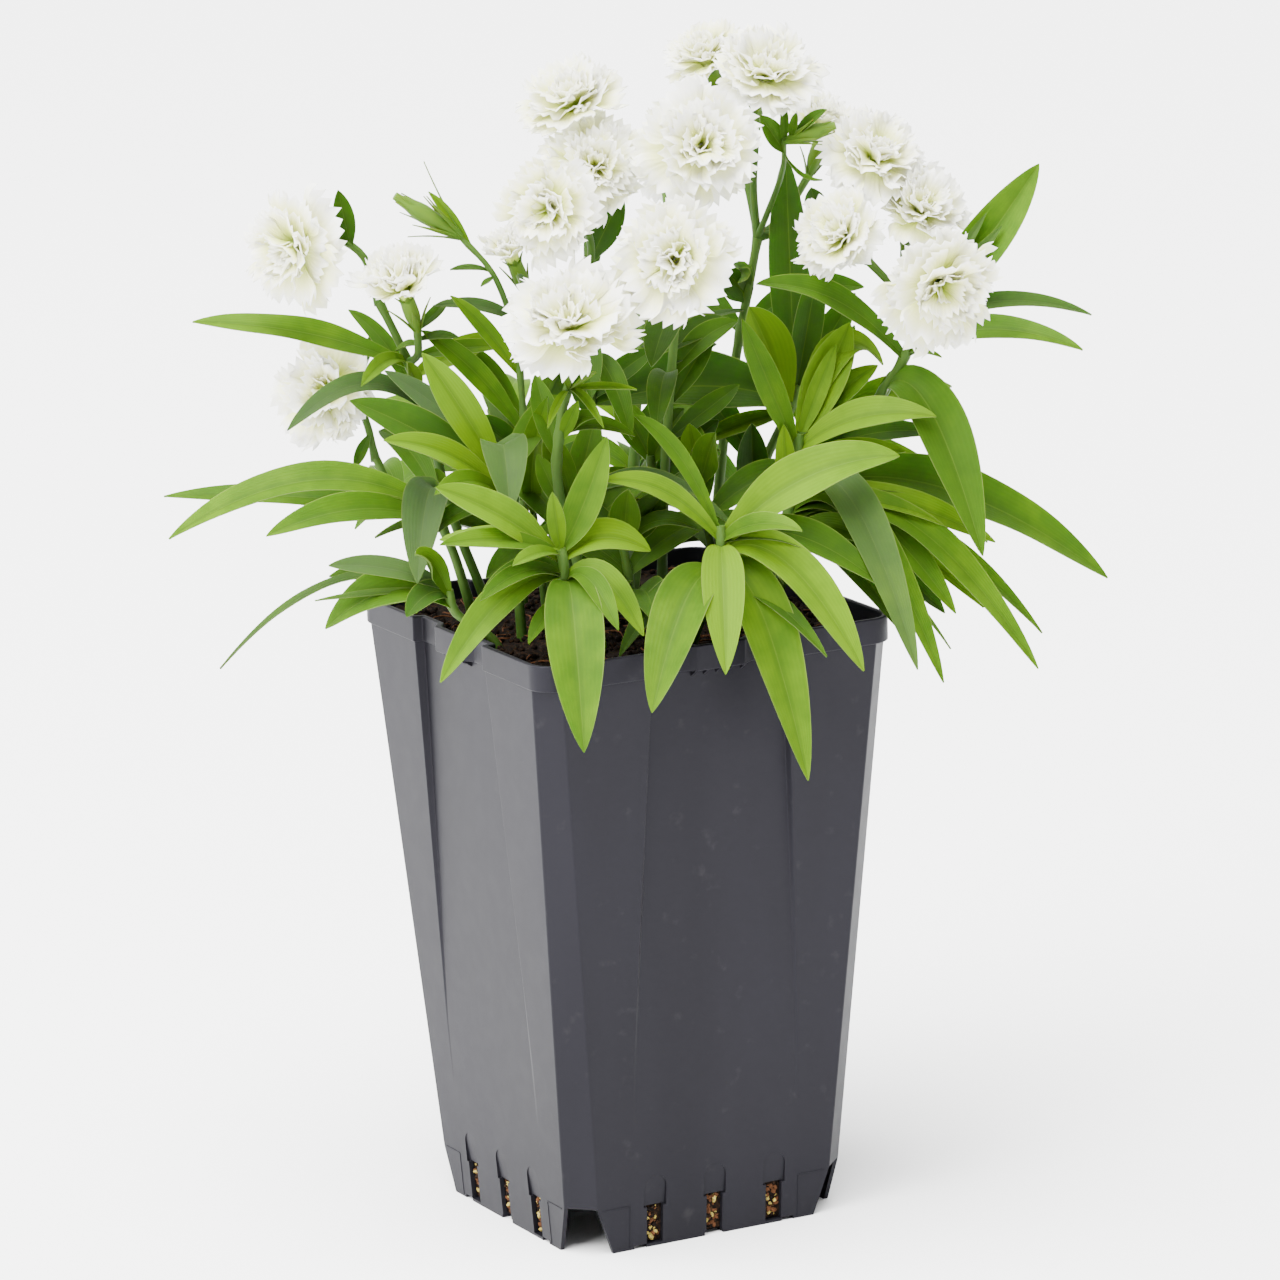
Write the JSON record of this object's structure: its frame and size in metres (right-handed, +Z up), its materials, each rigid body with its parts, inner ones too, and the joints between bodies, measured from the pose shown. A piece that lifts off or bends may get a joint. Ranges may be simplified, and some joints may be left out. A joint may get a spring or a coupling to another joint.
{
  "type": "dianthus plant in a nursery pot",
  "caption": "Potted dianthus with white double blooms of toothed petals on leafy stems, growing from soil in a tall square dark grey plastic nursery pot with drainage slots.",
  "frame": {"origin": "the centre of the pot's underside, at the height of the surface that it stands on", "axes": "+Z up along the pot's axis; X and Y square to the pot's side faces; the pictured front corner of the pot lies towards -X and -Y"},
  "size_m": [0.2932, 0.2084, 0.3878],
  "materials": {
    "pot_plastic": "satin dark grey moulded plastic",
    "soil": "dark crumbly potting soil with fibres",
    "leaf_green": "smooth green leaf with a paler midrib and margin",
    "petal_white": "soft white petal with a cream to yellow-green base"
  },
  "bodies": {
    "root": {"pot": "pot_plastic", "soil": "soil", "front_shoot": "leaf_green", "front_right_shoot": "leaf_green", "right_shoot": "leaf_green", "east_stem": "leaf_green", "centre_shoot": "leaf_green", "left_centre_shoot": "leaf_green", "left_shoot": "leaf_green", "left_low_shoot": "leaf_green", "west_stem": "leaf_green", "west_low_stem": "leaf_green", "bud_stem": "leaf_green", "front_flower_stem": "leaf_green", "middle_stem": "leaf_green", "tall_stem": "leaf_green", "top_stem": "leaf_green", "inner_left_shoot": "leaf_green", "inner_front_shoot": "leaf_green", "inner_right_shoot": "leaf_green", "inner_back_shoot": "leaf_green", "inner_west_shoot": "leaf_green", "rear_shoot": "leaf_green", "rear_left_shoot": "leaf_green", "rear_right_shoot": "leaf_green", "bloom_west": "petal_white", "bloom_west_cup": "petal_white", "bloom_west_low": "petal_white", "bloom_high_left": "petal_white", "bloom_middle_left": "petal_white", "bloom_middle_low": "petal_white", "bloom_opening": "petal_white", "bloom_front": "petal_white", "bloom_tall": "petal_white", "bloom_eye": "petal_white", "bloom_top_left": "petal_white", "bloom_top": "petal_white", "bloom_back_right": "petal_white", "bloom_right_high": "petal_white", "bloom_right": "petal_white", "bloom_east": "petal_white", "bloom_right_back": "petal_white", "bloom_rear": "petal_white"}
  },
  "joints": []
}
